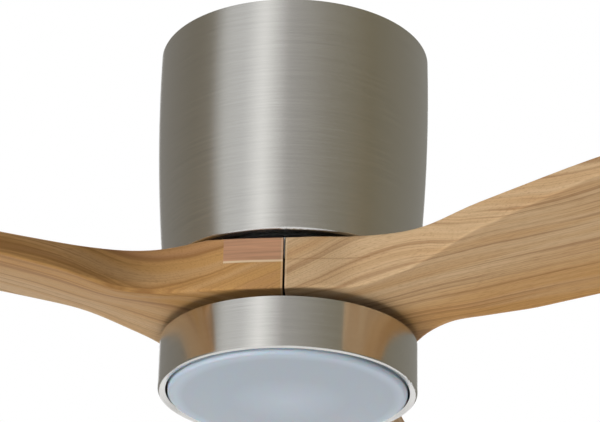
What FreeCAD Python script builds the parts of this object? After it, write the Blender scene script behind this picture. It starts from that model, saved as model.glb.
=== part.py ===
"""Low-profile ceiling fan with three carved wooden blades and a round LED light.

The row frame has its origin in the ceiling plane, on the fan's axis, with +Z up, so the fan hangs
below z = 0. Lengths are in millimetres. Fixed parts hang from the mounting plate: the shell, the
posts, the driver and a hollow shaft that carries the stator and, at its lower end, the light. The
rotor turns about that shaft on two ball bearings, and carries the hub plate and the blades.
"""

import FreeCAD
import Part
import math
import os

V = FreeCAD.Vector
ORIGIN = V(0, 0, 0)
UP = V(0, 0, 1)
RUNNING = 0.1      # radial clearance of a ball in its groove
FREE = 0.3         # clearance of a screw in a plain hole, or of a loose cover
PAST = 1.0         # how far a cutter runs past the face that it opens
HEAD_R = 1.8       # radius of a domed screw head, as a multiple of the shank's
HEAD_T = 1.0       # its height, as a multiple of the shank's radius
SINK_R = 2.0       # radius of a countersunk head, as a multiple of the shank's

# ---- shell and mounting plate ----
CEILING_GAP = 1.0          # between the ceiling and the shell's rim
SHELL_HEIGHT = 186.6
SHELL_R_TOP = 105.6
SHELL_BULGE = 2.95         # how far the middle of the wall stands outside the straight taper
SHELL_R_BOTTOM = 97.0
SHELL_WALL = 1.2
SHELL_LIP = 7.0            # width of the turned-in lip at the bottom
SHELL_ROLL = 2.2           # radius of the rolled bottom edge
PLATE_T = 2.5
PLATE_CLEARANCE = 0.7      # between the plate's rim and the shell's wall
CABLE_HOLE_R = 15.0
CEILING_PCD = 150.0
CEILING_HOLE_R = 3.0
CEILING_HOLES = 4
CEILING_HOLE_ANGLE = 45.0  # of the first one
TAB_WIDTH = 24.0
TAB_HEIGHT = 22.0
SHELL_SCREW_R = 2.0
SHELL_SCREW_DROP = 12.0    # below the ceiling
SHELL_SCREW_SEAT = 0.1     # the flat head stands this far off the curved wall
SHELL_SCREW_ANGLES = (12.0, 168.0)   # both a little behind the sides
EARTH_PLACE = (0.0, 34.0)
EARTH_SCREW_R = 2.0

# ---- posts, support plate and driver ----
POST_R = 5.0
POST_PITCH_R = 60.0
POSTS = 3
POST_SCREW_R = 2.5
SUPPORT_T = 3.0
SUPPORT_R = 78.0
WINDOW_IN = 30.0           # the support plate's three windows
WINDOW_OUT = 48.0
WINDOW_ANGLE = 44.0
BRACKET_T = 2.0
BRACKET_HEIGHT = 24.0
BRACKET_FOOT = 12.0
BRACKET_INSET = 4.0        # the bracket is this much narrower than the case, on each side
CASE_LENGTH = 90.0
CASE_WIDTH = 44.0
CASE_HEIGHT = 26.0
CASE_WALL = 1.8
LID_HEIGHT = 8.0
LID_SLOTS = 7
LID_SLOT_PITCH = 10.0
LID_SLOT_WIDTH = 2.0
LID_SLOT_LENGTH = 24.0
BOARD_T = 1.6
BOARD_CLEARANCE = 1.0
STANDOFF = 4.0             # under the driver's board
STANDOFF_R = 2.5
STANDOFF_PLACE = (36.0, 15.0)
GLAND_HEIGHT = 14.0        # above the case's floor
MOTOR_GLAND_X = -14.0
CAPACITORS = ((-30.0, 6.0), (-30.0, -8.0))
CAPACITOR_R = 6.0
CAPACITOR_HEIGHT = 14.0
CHOKE_PLACE = (-8.0, -8.0)
CHOKE_R = 8.0
CHOKE_BORE_R = 3.0
CHOKE_HEIGHT = 10.0
HEAT_SINK = (14.0, 17.0, -14.0, 14.0, 13.0)     # x from and to, y from and to, height
CHIPS = ((22.0, 34.0, -6.0, 6.0, 2.5), (4.0, 11.0, 4.0, 14.0, 3.0))

# ---- terminal block and leads ----
BLOCK_LENGTH = 40.0
BLOCK_WIDTH = 24.0
BLOCK_HEIGHT = 15.0
BLOCK_X = -54.0
BLOCK_GROOVE = 8.0
BLOCK_GROOVE_DEPTH = 6.0
POLES = 3
POLE_PITCH = 7.5
POLE_COLUMN = 12.0         # from the block's middle
POLE_R = 2.2
POLE_DEPTH = 5.0
POLE_SCREW_T = 4.0
POLE_SLOT_WIDTH = 0.8
POLE_SLOT_DEPTH = 1.0
LEAD_R = 2.0
MOTOR_LEAD_R = 1.2
LEAD_BEND = 3.2
MAINS_BEND = 7.0
GLAND_RUN = 11.0
TURN_HEIGHT = 6.0          # of the leads' turn above the shaft
LIGHT_LEAD_X = 2.3
MOTOR_LEAD_X = -2.8
LEAD_SLOT_WIDTH = 3.2

# ---- shaft, bearings and motor ----
SHAFT_R = 8.5
SHAFT_BORE_R = 5.5
SPACER_WALL = 2.5
NUT_FLATS = 24.0
NUT_HEIGHT = 8.0
NUT_OVERHANG = 2.0         # thread that stands past each nut
BEARING_R = 20.0
BEARING_WIDTH = 12.0
BEARING_LAND = 3.7         # radial thickness of each race
BALL_R = 3.3
BALLS = 8
CAGE_T = 1.6
CAGE_REACH = 4.6           # half its height
MOTOR_GAP = 9.5            # between the motor and the support plate
MOTOR_HEIGHT = 62.0
MOTOR_R = 80.0
COVER_T = 4.0
COVER_WALL = 5.0
COVER_FLANGE = 8.0
COVER_FLANGE_T = 3.0
COVER_SCREWS = 6
BOSS_WALL = 5.0
VENT_IN = 17.0             # from the bearing's boss
VENT_OUT = 18.0            # from the motor's outside
VENT_ANGLE = 14.0
VENTS = 8
COVER_SCREW_R = 2.0
BEARING_SHOULDER = 1.5
SHOULDER_R = 14.0          # hole through which the shaft's spacer leaves the motor
BACK_IRON_T = 6.0
MAGNET_T = 4.0
MAGNETS = 14
MAGNET_SPACE = 2.5         # degrees between magnets
MAGNET_OVERHANG = 1.0      # past the stator's stack, at each end
AIR_GAP = 1.0
STACK = 27.0
TEETH = 12
TOOTH_WIDTH = 8.0
YOKE_R = 27.0
SHOE_T = 4.5
SHOE_ANGLE = 23.0
COIL_T = 3.0
COIL_OVERHANG = 3.5
COIL_SPACE_IN = 3.0        # between a coil and the yoke
COIL_SPACE_OUT = 1.0       # between a coil and the pole shoe
COIL_ROUND = 2.5

# ---- hub and blades ----
SHELL_TO_BLADE = 5.6
HUB_PLATE_T = 4.0
HUB_PLATE_R = 88.5
HUB_BORE_R = 16.0
HUB_SCREWS = 6
HUB_SCREW_PITCH_R = 36.0
BLADES = 3
SWEEP_R = 660.0
ROOT_THICKNESS = 40.0
ROOT_BORE_R = 30.0
ROOT_R = 93.0              # radius of the root at the seam between two blades
SEAM = 1.0
CLAMP_R = 78.0
CLAMP_T = 3.0
BOLT_R = 3.0
BOLT_PITCH_R = 64.0
BOLT_SPREAD = 38.0         # degrees between a blade's middle bolt and its outer ones
PIN_R = 1.5
PIN_LENGTH = 14.0
PIN_SHOWING = 1.5

# ---- a blade's shape between its neck and its tip ----
NECK_X = 90.0              # where the blade leaves the hub's round
# The places that set the shape, as shares of the length from the neck to the tip:
# neck, throat, waist, shoulder, belly, outer part and tip.
PLACES = (0.0, 0.05, 0.10, 0.20, 0.45, 0.75, 1.0)
LEAD_EDGE = (-58.0, -53.0, -54.0, -70.0, -94.0, -86.0, -66.0)    # across the blade's axis
TRAIL_EDGE = (50.0, 35.0, 30.0, 37.0, 40.0, 42.0, 45.0)
LEAD_RISE = (0.0, 4.0, 10.0, 18.0, 27.0, 28.0, 26.0)             # above the root's underside
TRAIL_RISE = (0.0, -3.0, -6.0, -3.0, 0.0, 3.0, 6.0)
LEAD_T = (1.0, 0.84, 0.66, 0.48, 0.30, 0.22, 0.18)               # as a share of the root's thickness
TRAIL_T = (1.0, 0.88, 0.80, 0.50, 0.30, 0.23, 0.19)
SECTION_PITCH = 20.0       # between the sections that the skin passes through
HUB_OVERLAP = 5.0          # how far the sections start inside the hub's bore
ROOT_BOW = 1.0             # how far the root's sides stand outside a straight line to the seam
TIP_CORNER_LEAD = 58.0
TIP_CORNER_TRAIL = 34.0
TIP_SPARE = 10.0           # length trimmed off square and round
EDGE_ROUND = 2.2
ROUND_SHARE = 0.3          # most of an edge's thickness that its rounding takes
SOFT_SHARE = 0.45          # the same for the soft underside
SOFT_ROUND = 9.0           # largest rounding of the trailing edge's underside, just outside the root
SOFT_FROM = 75.0           # where along the blade that rounding starts, peaks and ends
SOFT_PEAK = 130.0
SOFT_TO = 215.0
TOP_CROWN = 2.0
PLANED = 0.8               # stock on top, planed off flat where the root meets the hub plate

# ---- light ----
BLADE_TO_RING = 7.8
RING_HEIGHT = 39.5
RING_R = 97.2
RING_WALL = 1.2
RING_FLANGE = 12.0
RING_LIP_R = 91.6
RING_ROLL = 1.8
RING_LIP_HEIGHT = 4.0
PAN_T = 1.5
RING_SCREWS = 3
RING_SCREW_R = 2.0
TRAY_DEPTH = 15.3          # from the pan to the tray's floor
TRAY_FLANGE_R = 57.0
TRAY_SCREWS = 3
TRAY_SCREW_PITCH_R = 64.0
TRAY_WALL_R = 72.0
TRAY_WALL = 2.0
TRAY_T = 2.5
TRAY_R = 87.0
LED_BOARD_R = 80.0
LED_SIZE = 5.0
LED_T = 1.2
LED_CIRCLES = ((34.0, 10), (66.0, 20))   # radius, count
BOARD_SCREW_R = 1.5
BOARD_SCREW_PITCH_R = 50.0
BOARD_SCREWS = 3
BOARD_SCREW_ANGLE = 90.0   # of the first one
LED_DRIVER_X = 16.0
LED_DRIVER_LENGTH = 44.0
LED_DRIVER_WIDTH = 28.0
LED_DRIVER_HEIGHT = 10.0
LED_DRIVER_ROUND = 1.5
LEAD_OVER_TRAY = 1.0
LENS_R = 89.9
LENS_WALL = 1.8
LENS_EDGE_R = 3.2
LENS_CROWN = 3.0
LENS_SET_BACK = 1.0        # from the ring's bottom edge up to where the lens begins to round
LUGS = 3
LUG_ANGLE = 20.0
LUG_REACH = 6.0
LUG_T = 2.4
NOTCH_SPARE = 4.0          # degrees by which a notch in the tray is wider than its lug
TWIST = 30.0               # from locked to free, in degrees

# ---- levels, from the ceiling down ----
Z_SHELL_TOP = -CEILING_GAP
Z_SHELL_BOTTOM = Z_SHELL_TOP - SHELL_HEIGHT
Z_ROOT_TOP = Z_SHELL_BOTTOM - SHELL_TO_BLADE
Z_ROOT_BOTTOM = Z_ROOT_TOP - ROOT_THICKNESS
Z_RING_TOP = Z_ROOT_BOTTOM - BLADE_TO_RING
Z_RING_BOTTOM = Z_RING_TOP - RING_HEIGHT
Z_HUB_TOP = Z_ROOT_TOP + HUB_PLATE_T
Z_MOTOR_BOTTOM = Z_HUB_TOP
Z_MOTOR_TOP = Z_MOTOR_BOTTOM + MOTOR_HEIGHT
Z_MOTOR_MIDDLE = (Z_MOTOR_BOTTOM + Z_MOTOR_TOP) / 2
Z_LOWER_BEARING = Z_MOTOR_BOTTOM + BEARING_SHOULDER
Z_UPPER_BEARING = Z_MOTOR_TOP - BEARING_SHOULDER - BEARING_WIDTH
Z_STACK = Z_MOTOR_MIDDLE - STACK / 2
Z_SUPPORT = Z_MOTOR_TOP + MOTOR_GAP
Z_SUPPORT_TOP = Z_SUPPORT + SUPPORT_T
Z_BRACKET_TOP = Z_SUPPORT_TOP + BRACKET_HEIGHT
Z_PAN_TOP = Z_RING_TOP - RING_WALL
Z_PAN = Z_PAN_TOP - PAN_T
Z_TRAY_TOP = Z_PAN - TRAY_DEPTH
Z_TRAY = Z_TRAY_TOP - TRAY_T
Z_SHAFT_TOP = Z_SUPPORT_TOP + NUT_HEIGHT + NUT_OVERHANG
Z_SHAFT_BOTTOM = Z_PAN - NUT_HEIGHT - NUT_OVERHANG
Z_CASE_TOP = Z_BRACKET_TOP + CASE_HEIGHT
Z_LID = Z_CASE_TOP - LID_HEIGHT
Z_BOARD = Z_BRACKET_TOP + CASE_WALL + STANDOFF
Z_TURN = Z_SHAFT_TOP + TURN_HEIGHT
Z_MOTOR_LEAD = (Z_STACK + STACK + Z_UPPER_BEARING) / 2
Z_LIGHT_LEAD = Z_TRAY_TOP + LEAD_R + LEAD_OVER_TRAY
Z_LUG = Z_TRAY_TOP + FREE

# ---- sizes that follow from those above ----
PLATE_R = SHELL_R_TOP - SHELL_WALL - PLATE_CLEARANCE
TAB_FACE = math.sqrt(PLATE_R ** 2 - (TAB_WIDTH / 2) ** 2)
LIGHT_GLAND = (0.0, CASE_WIDTH / 2, Z_BRACKET_TOP + GLAND_HEIGHT)
MOTOR_GLAND = (MOTOR_GLAND_X, CASE_WIDTH / 2, Z_BRACKET_TOP + GLAND_HEIGHT)
MAINS_GLAND = (-CASE_LENGTH / 2, 0.0, Z_BRACKET_TOP + GLAND_HEIGHT)
BALL_PITCH_R = (SHAFT_R + BEARING_R) / 2
BOSS_R = BEARING_R + BOSS_WALL
FLANGE_R = MOTOR_R + COVER_FLANGE
IRON_R = MOTOR_R - COVER_WALL
MAGNET_R = IRON_R - BACK_IRON_T
ROTOR_BORE_R = MAGNET_R - MAGNET_T
STATOR_R = ROTOR_BORE_R - AIR_GAP
RING_SCREW_PITCH_R = RING_R - RING_FLANGE / 2
LUG_R = LENS_R - LENS_WALL - LUG_REACH


# ---------------------------------------------------------------- helpers
def cylinder(r, z0, z1, x=0.0, y=0.0):
    return Part.makeCylinder(r, z1 - z0, V(x, y, z0), UP)


def ring(r0, r1, z0, z1):
    return cylinder(r1, z0, z1).cut(cylinder(r0, z0 - PAST, z1 + PAST))


def block(x0, x1, y0, y1, z0, z1):
    return Part.makeBox(x1 - x0, y1 - y0, z1 - z0, V(x0, y0, z0))


def spun(edges):
    """A closed outline in the XZ plane, turned once about Z."""
    return Part.Face(Part.Wire(Part.__sortEdges__(edges))).revolve(ORIGIN, UP, 360)


def outline(*points):
    """Straight edges through (radius, height) points, closed."""
    corners = [V(r, 0, z) for r, z in points]
    pairs = zip(corners, corners[1:] + corners[:1])
    return [Part.LineSegment(a, b).toShape() for a, b in pairs]


def bend(a, b, c):
    """An arc in the XZ plane through three (radius, height) points."""
    return Part.Arc(*(V(r, 0, z) for r, z in (a, b, c))).toShape()


def cap(r, z, rise):
    """An arc from (r, z) to the axis, centred on the axis, whose end lies higher by the given rise."""
    radius = (r * r + rise * rise) / (2 * rise)
    sag = radius - math.copysign(math.sqrt(radius * radius - r * r / 4), radius)
    return bend((r, z), (r / 2, z + rise - sag), (0, z + rise))


def line(a, b):
    return Part.LineSegment(V(a[0], 0, a[1]), V(b[0], 0, b[1])).toShape()


def turned(shape, angle):
    copy = shape.copy()
    copy.rotate(ORIGIN, UP, angle)
    return copy


def moved(shape, x, y, z):
    copy = shape.copy()
    copy.translate(V(x, y, z))
    return copy


def around(shape, count, first=0.0):
    """Copies of a shape, spaced evenly about the axis."""
    return [turned(shape, first + 360.0 * i / count) for i in range(count)]


def cut_all(shape, tools):
    for tool in tools:
        shape = shape.cut(tool)
    return shape


def on_circle(r, angle):
    return r * math.cos(math.radians(angle)), r * math.sin(math.radians(angle))


def hexagon(flats, z0, z1, bore):
    r = flats / math.sqrt(3)
    corners = [V(*on_circle(r, 60 * i), z0) for i in range(7)]
    nut = Part.Face(Part.makePolygon(corners)).extrude(V(0, 0, z1 - z0))
    return nut.cut(cylinder(bore, z0 - PAST, z1 + PAST))


def sector(r0, r1, z0, z1, angle):
    """A piece of a ring, centred on the +X direction."""
    whole = Part.makeCylinder(r1, z1 - z0, V(0, 0, z0), UP, angle)
    return turned(whole, -angle / 2).cut(cylinder(r0, z0 - PAST, z1 + PAST))


def screw(r, length):
    """A screw with a domed head under z = 0 and its shank pointing up."""
    shank = cylinder(r, 0, length)
    head_r, head_t = HEAD_R * r, HEAD_T * r
    dome = spun([
        line((0, 0), (head_r, 0)),
        cap(head_r, 0, -head_t),
        line((0, -head_t), (0, 0)),
    ])
    return dome.fuse(shank).removeSplitter()


def sunk_screw(r, length):
    """A countersunk screw, its flat head on z = 0 and its shank pointing up."""
    head_r = SINK_R * r
    return spun(outline((0, 0), (head_r, 0), (r, head_r - r), (r, length), (0, length)))


def sunk_hole(r, x, y, z, depth):
    """The cutter for a countersunk screw with its head on z. A negative depth runs downwards."""
    way = V(0, 0, math.copysign(1, depth))
    head_r = SINK_R * r
    hole = Part.makeCylinder(r, abs(depth) + 2 * PAST, V(x, y, z) - way * PAST, way)
    return hole.fuse(Part.makeCone(head_r, r, head_r - r, V(x, y, z), way))


def lead(points, r, bend_r):
    """A round lead along straight runs joined by tangent arcs."""
    p = [V(*q) for q in points]
    edges, start = [], p[0]
    for before, corner, after in zip(p, p[1:], p[2:]):
        back = (before - corner).normalize()
        ahead = (after - corner).normalize()
        half_turn = (math.pi - back.getAngle(ahead)) / 2
        trim = bend_r * math.tan(half_turn)
        inward = (back + ahead).normalize()
        a, b = corner + back * trim, corner + ahead * trim
        middle = corner + inward * (bend_r / math.cos(half_turn) - bend_r)
        edges += [Part.LineSegment(start, a).toShape(), Part.Arc(a, middle, b).toShape()]
        start = b
    edges += [Part.LineSegment(start, p[-1]).toShape()]
    section = Part.Wire(Part.Circle(p[0], p[1] - p[0], r).toShape())
    return Part.Wire(edges).makePipeShell([section], True, False)


# ---------------------------------------------------------------- shell and mounting plate
def shell_r(z):
    """Outer radius of the shell at a height: a straight taper with a shallow bulge."""
    share = (Z_SHELL_TOP - z) / SHELL_HEIGHT
    taper = SHELL_R_TOP + (SHELL_R_BOTTOM - SHELL_R_TOP) * share
    return taper + SHELL_BULGE * 4 * share * (1 - share)


def housing_shell():
    """A thin spun shell: bulged wall, rolled bottom edge and turned-in lip."""
    middle = (Z_SHELL_TOP + Z_SHELL_BOTTOM) / 2
    z_roll = Z_SHELL_BOTTOM + SHELL_ROLL
    inner_roll = SHELL_ROLL - SHELL_WALL
    r_roll = shell_r(z_roll) - SHELL_ROLL
    slant = math.sqrt(0.5)
    lip_r = r_roll - SHELL_LIP + SHELL_ROLL
    edges = [
        bend((shell_r(Z_SHELL_TOP), Z_SHELL_TOP), (shell_r(middle), middle), (shell_r(z_roll), z_roll)),
        bend((r_roll + SHELL_ROLL, z_roll), (r_roll + SHELL_ROLL * slant, z_roll - SHELL_ROLL * slant),
             (r_roll, Z_SHELL_BOTTOM)),
        line((r_roll, Z_SHELL_BOTTOM), (lip_r, Z_SHELL_BOTTOM)),
        line((lip_r, Z_SHELL_BOTTOM), (lip_r, Z_SHELL_BOTTOM + SHELL_WALL)),
        line((lip_r, Z_SHELL_BOTTOM + SHELL_WALL), (r_roll, Z_SHELL_BOTTOM + SHELL_WALL)),
        bend((r_roll, Z_SHELL_BOTTOM + SHELL_WALL),
             (r_roll + inner_roll * slant, z_roll - inner_roll * slant), (r_roll + inner_roll, z_roll)),
        bend((shell_r(z_roll) - SHELL_WALL, z_roll), (shell_r(middle) - SHELL_WALL, middle),
             (shell_r(Z_SHELL_TOP) - SHELL_WALL, Z_SHELL_TOP)),
        line((shell_r(Z_SHELL_TOP) - SHELL_WALL, Z_SHELL_TOP), (shell_r(Z_SHELL_TOP), Z_SHELL_TOP)),
    ]
    return cut_all(spun(edges), shell_screw_holes(SHELL_SCREW_R + FREE))


def shell_screw_holes(r):
    hole = Part.makeCylinder(r, SHELL_R_TOP + SHELL_BULGE, V(0, 0, -SHELL_SCREW_DROP), V(1, 0, 0))
    return [turned(hole, angle) for angle in SHELL_SCREW_ANGLES]


def post_places():
    return [on_circle(POST_PITCH_R, 360.0 * i / POSTS) for i in range(POSTS)]


def mounting_plate():
    """A flat steel disc that lies on the ceiling, with two tabs for the shell's screws."""
    plate = cylinder(PLATE_R, -PLATE_T, 0)
    tab = block(TAB_FACE - PLATE_T, TAB_FACE, -TAB_WIDTH / 2, TAB_WIDTH / 2, -TAB_HEIGHT, -PLATE_T / 2)
    for angle in SHELL_SCREW_ANGLES:
        plate = plate.fuse(turned(tab, angle))
    plate = plate.cut(cylinder(CABLE_HOLE_R, -PLATE_T - PAST, PAST))
    for i in range(CEILING_HOLES):
        x, y = on_circle(CEILING_PCD / 2, CEILING_HOLE_ANGLE + 360.0 * i / CEILING_HOLES)
        plate = plate.cut(cylinder(CEILING_HOLE_R, -PLATE_T - PAST, PAST, x, y))
    for x, y in post_places():
        plate = plate.cut(sunk_hole(POST_SCREW_R, x, y, 0, -PLATE_T))
    plate = cut_all(plate, shell_screw_holes(SHELL_SCREW_R))
    plate = plate.cut(cylinder(EARTH_SCREW_R, -PLATE_T - PAST, PAST, *EARTH_PLACE))
    return plate.removeSplitter()


def earth_screw():
    body = screw(EARTH_SCREW_R, PLATE_T)
    return moved(body, *EARTH_PLACE, -PLATE_T)


def shell_screws():
    """One screw near each side, through the shell into a tab."""
    z = -SHELL_SCREW_DROP
    seat = shell_r(z) + SHELL_SCREW_SEAT
    reach = seat - TAB_FACE + PLATE_T
    body = screw(SHELL_SCREW_R, reach)
    body.rotate(ORIGIN, V(0, 1, 0), -90)
    return [turned(moved(body, seat, 0, z), angle) for angle in SHELL_SCREW_ANGLES]


# ---------------------------------------------------------------- posts and support plate
def support_posts():
    post = cylinder(POST_R, Z_SUPPORT_TOP, -PLATE_T)
    tap = cylinder(POST_SCREW_R, -PLATE_T - 2 * POST_R, -PLATE_T + PAST)
    low_tap = cylinder(POST_SCREW_R, Z_SUPPORT_TOP - PAST, Z_SUPPORT_TOP + 2 * POST_R)
    return [moved(post.cut(tap).cut(low_tap), x, y, 0) for x, y in post_places()]


def upper_post_screws():
    """Countersunk, flush with the plate's ceiling side."""
    body = sunk_screw(POST_SCREW_R, PLATE_T + 2 * POST_R)
    body.rotate(ORIGIN, V(1, 0, 0), 180)
    return [moved(body, x, y, 0) for x, y in post_places()]


def lower_post_screws():
    body = screw(POST_SCREW_R, SUPPORT_T + 2 * POST_R)
    return [moved(body, x, y, Z_SUPPORT) for x, y in post_places()]


def motor_support_plate():
    plate = ring(SHAFT_R, SUPPORT_R, Z_SUPPORT, Z_SUPPORT_TOP)
    for x, y in post_places():
        plate = plate.cut(cylinder(POST_SCREW_R + FREE, Z_SUPPORT - PAST, Z_SUPPORT_TOP + PAST, x, y))
    window = sector(WINDOW_IN, WINDOW_OUT, Z_SUPPORT - PAST, Z_SUPPORT_TOP + PAST, WINDOW_ANGLE)
    return cut_all(plate, around(window, POSTS, 180.0 / POSTS))


# ---------------------------------------------------------------- terminal block and driver
def pole_places():
    return [(BLOCK_X + side * POLE_COLUMN, (i - (POLES - 1) / 2) * POLE_PITCH)
            for side in (1, -1) for i in range(POLES)]


def terminal_block():
    z = -PLATE_T - BLOCK_HEIGHT
    body = block(BLOCK_X - BLOCK_LENGTH / 2, BLOCK_X + BLOCK_LENGTH / 2,
                 -BLOCK_WIDTH / 2, BLOCK_WIDTH / 2, z, -PLATE_T)
    body = body.cut(block(BLOCK_X - BLOCK_GROOVE / 2, BLOCK_X + BLOCK_GROOVE / 2,
                          -BLOCK_WIDTH, BLOCK_WIDTH, z - PAST, z + BLOCK_GROOVE_DEPTH))
    for x, y in pole_places():
        body = body.cut(cylinder(POLE_R, z - PAST, z + POLE_DEPTH, x, y))
    return body


def terminal_screws():
    z = -PLATE_T - BLOCK_HEIGHT + POLE_DEPTH
    half = POLE_SLOT_WIDTH / 2
    slot = block(-POLE_R, POLE_R, -half, half, -POLE_SCREW_T - PAST, -POLE_SCREW_T + POLE_SLOT_DEPTH)
    body = cylinder(POLE_R, -POLE_SCREW_T, 0).cut(slot)
    return [moved(body, x, y, z) for x, y in pole_places()]


def driver_bracket():
    """A bridge over the shaft's nut that carries the driver's case."""
    half = CASE_LENGTH / 2
    depth = CASE_WIDTH / 2 - BRACKET_INSET
    body = block(-half, half, -depth, depth, Z_BRACKET_TOP - BRACKET_T, Z_BRACKET_TOP)
    for side in (1, -1):
        leg = sorted((side * half, side * (half - BRACKET_T)))
        foot = sorted((side * half, side * (half - BRACKET_FOOT)))
        body = body.fuse(block(*leg, -depth, depth, Z_SUPPORT_TOP, Z_BRACKET_TOP))
        body = body.fuse(block(*foot, -depth, depth, Z_SUPPORT_TOP, Z_SUPPORT_TOP + BRACKET_T))
    return body.removeSplitter()


def case_block(shrink, z0, z1):
    x = CASE_LENGTH / 2 - shrink
    y = CASE_WIDTH / 2 - shrink
    return block(-x, x, -y, y, z0, z1)


def driver_case():
    tray = case_block(0, Z_BRACKET_TOP, Z_LID)
    tray = tray.cut(case_block(CASE_WALL, Z_BRACKET_TOP + CASE_WALL, Z_CASE_TOP))
    peg = cylinder(STANDOFF_R, Z_BRACKET_TOP + CASE_WALL / 2, Z_BOARD)
    x, y = STANDOFF_PLACE
    for place in ((x, y), (-x, y), (-x, -y), (x, -y)):
        tray = tray.fuse(moved(peg, *place, 0))
    return tray.removeSplitter()


def driver_lid():
    lid = case_block(0, Z_LID, Z_CASE_TOP).cut(case_block(CASE_WALL, Z_LID - PAST, Z_CASE_TOP - CASE_WALL))
    x, y = LID_SLOT_WIDTH / 2, LID_SLOT_LENGTH / 2
    slot = block(-x, x, -y, y, Z_CASE_TOP - CASE_WALL - PAST, Z_CASE_TOP + PAST)
    first = -LID_SLOT_PITCH * (LID_SLOTS - 1) / 2
    return cut_all(lid, [moved(slot, first + i * LID_SLOT_PITCH, 0, 0) for i in range(LID_SLOTS)])


def driver_board():
    return case_block(CASE_WALL + BOARD_CLEARANCE, Z_BOARD, Z_BOARD + BOARD_T)


def driver_components():
    """Capacitors, a choke, a heat sink and two chips that stand on the board."""
    z = Z_BOARD + BOARD_T
    parts = [cylinder(CAPACITOR_R, z, z + CAPACITOR_HEIGHT, x, y) for x, y in CAPACITORS]
    choke = ring(CHOKE_BORE_R, CHOKE_R, z, z + CHOKE_HEIGHT)
    parts.append(moved(choke, *CHOKE_PLACE, 0))
    for x0, x1, y0, y1, height in (HEAT_SINK, *CHIPS):
        parts.append(block(x0, x1, y0, y1, z, z + height))
    return parts


# ---------------------------------------------------------------- leads
def mains_lead():
    x = BLOCK_X + BLOCK_LENGTH / 2
    z = -PLATE_T - BLOCK_HEIGHT / 2
    gx, gy, gz = MAINS_GLAND
    return lead([(x, 4, z), (x + 16, 4, z), (x + 16, 14, z - 24), (gx - 14, 10, gz + 22),
                 (gx - 14, gy, gz), (gx, gy, gz)], LEAD_R, MAINS_BEND)


def motor_lead():
    gx, gy, gz = MOTOR_GLAND
    return lead([(-YOKE_R - COIL_SPACE_IN, 0, Z_MOTOR_LEAD), (MOTOR_LEAD_X, 0, Z_MOTOR_LEAD),
                 (MOTOR_LEAD_X, 0, Z_TURN), (gx, gy + GLAND_RUN, Z_TURN),
                 (gx, gy + GLAND_RUN, gz), (gx, gy, gz)], MOTOR_LEAD_R, LEAD_BEND)


def light_lead():
    gx, gy, gz = LIGHT_GLAND
    return lead([(LED_DRIVER_X, 0, Z_LIGHT_LEAD), (LIGHT_LEAD_X, 0, Z_LIGHT_LEAD),
                 (LIGHT_LEAD_X, 0, Z_TURN), (gx, gy + GLAND_RUN, Z_TURN),
                 (gx, gy + GLAND_RUN, gz), (gx, gy, gz)], LEAD_R, LEAD_BEND)


# ---------------------------------------------------------------- shaft, bearings and motor
def motor_shaft():
    """A hollow shaft with a slot for the motor's lead between the stator and the upper bearing."""
    shaft = ring(SHAFT_BORE_R, SHAFT_R, Z_SHAFT_BOTTOM, Z_SHAFT_TOP)
    return shaft.cut(lead_slot())


def lead_slot():
    half = LEAD_SLOT_WIDTH / 2
    return block(-SHAFT_R - SPACER_WALL - PAST, 0, -half, half, Z_STACK + STACK, Z_UPPER_BEARING)


def shaft_spacers():
    r = SHAFT_R + SPACER_WALL
    upper = ring(SHAFT_R, r, Z_UPPER_BEARING + BEARING_WIDTH, Z_SUPPORT)
    over_stack = ring(SHAFT_R, r, Z_STACK + STACK, Z_UPPER_BEARING).cut(lead_slot())
    under_stack = ring(SHAFT_R, r, Z_LOWER_BEARING + BEARING_WIDTH, Z_STACK)
    long_one = ring(SHAFT_R, r, Z_PAN_TOP, Z_LOWER_BEARING)
    return [upper, over_stack, under_stack, long_one]


def shaft_nuts():
    upper = hexagon(NUT_FLATS, Z_SUPPORT_TOP, Z_SUPPORT_TOP + NUT_HEIGHT, SHAFT_R)
    lower = hexagon(NUT_FLATS, Z_PAN - NUT_HEIGHT, Z_PAN, SHAFT_R)
    return [upper, lower]


def at_both_bearings(shapes):
    middle = BEARING_WIDTH / 2
    return [moved(s, 0, 0, z + middle) for z in (Z_LOWER_BEARING, Z_UPPER_BEARING) for s in shapes]


def groove():
    return Part.makeTorus(BALL_PITCH_R, BALL_R + RUNNING)


def bearing_inner_races():
    race = ring(SHAFT_R, SHAFT_R + BEARING_LAND, -BEARING_WIDTH / 2, BEARING_WIDTH / 2)
    return at_both_bearings([race.cut(groove())])


def bearing_outer_races():
    race = ring(BEARING_R - BEARING_LAND, BEARING_R, -BEARING_WIDTH / 2, BEARING_WIDTH / 2)
    return at_both_bearings([race.cut(groove())])


def balls(r):
    return around(Part.makeSphere(r, V(BALL_PITCH_R, 0, 0)), BALLS)


def bearing_balls():
    return at_both_bearings(balls(BALL_R))


def bearing_cages():
    cage = ring(BALL_PITCH_R - CAGE_T / 2, BALL_PITCH_R + CAGE_T / 2, -CAGE_REACH, CAGE_REACH)
    pocket = Part.makeCylinder(BALL_R + RUNNING, BEARING_R, ORIGIN, V(1, 0, 0))
    return at_both_bearings([cut_all(cage, around(pocket, BALLS))])


def cover_profile(inner_r):
    """A cup with a bearing boss and an outer flange, its floor on z = 0 and its flange at half height."""
    top = MOTOR_HEIGHT / 2
    boss_top = BEARING_SHOULDER + BEARING_WIDTH
    return outline(
        (SHOULDER_R, 0), (MOTOR_R, 0), (MOTOR_R, top - COVER_FLANGE_T), (FLANGE_R, top - COVER_FLANGE_T),
        (FLANGE_R, top), (inner_r, top), (inner_r, COVER_T), (BOSS_R, COVER_T), (BOSS_R, boss_top),
        (BEARING_R, boss_top), (BEARING_R, BEARING_SHOULDER), (SHOULDER_R, BEARING_SHOULDER),
    )


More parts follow.
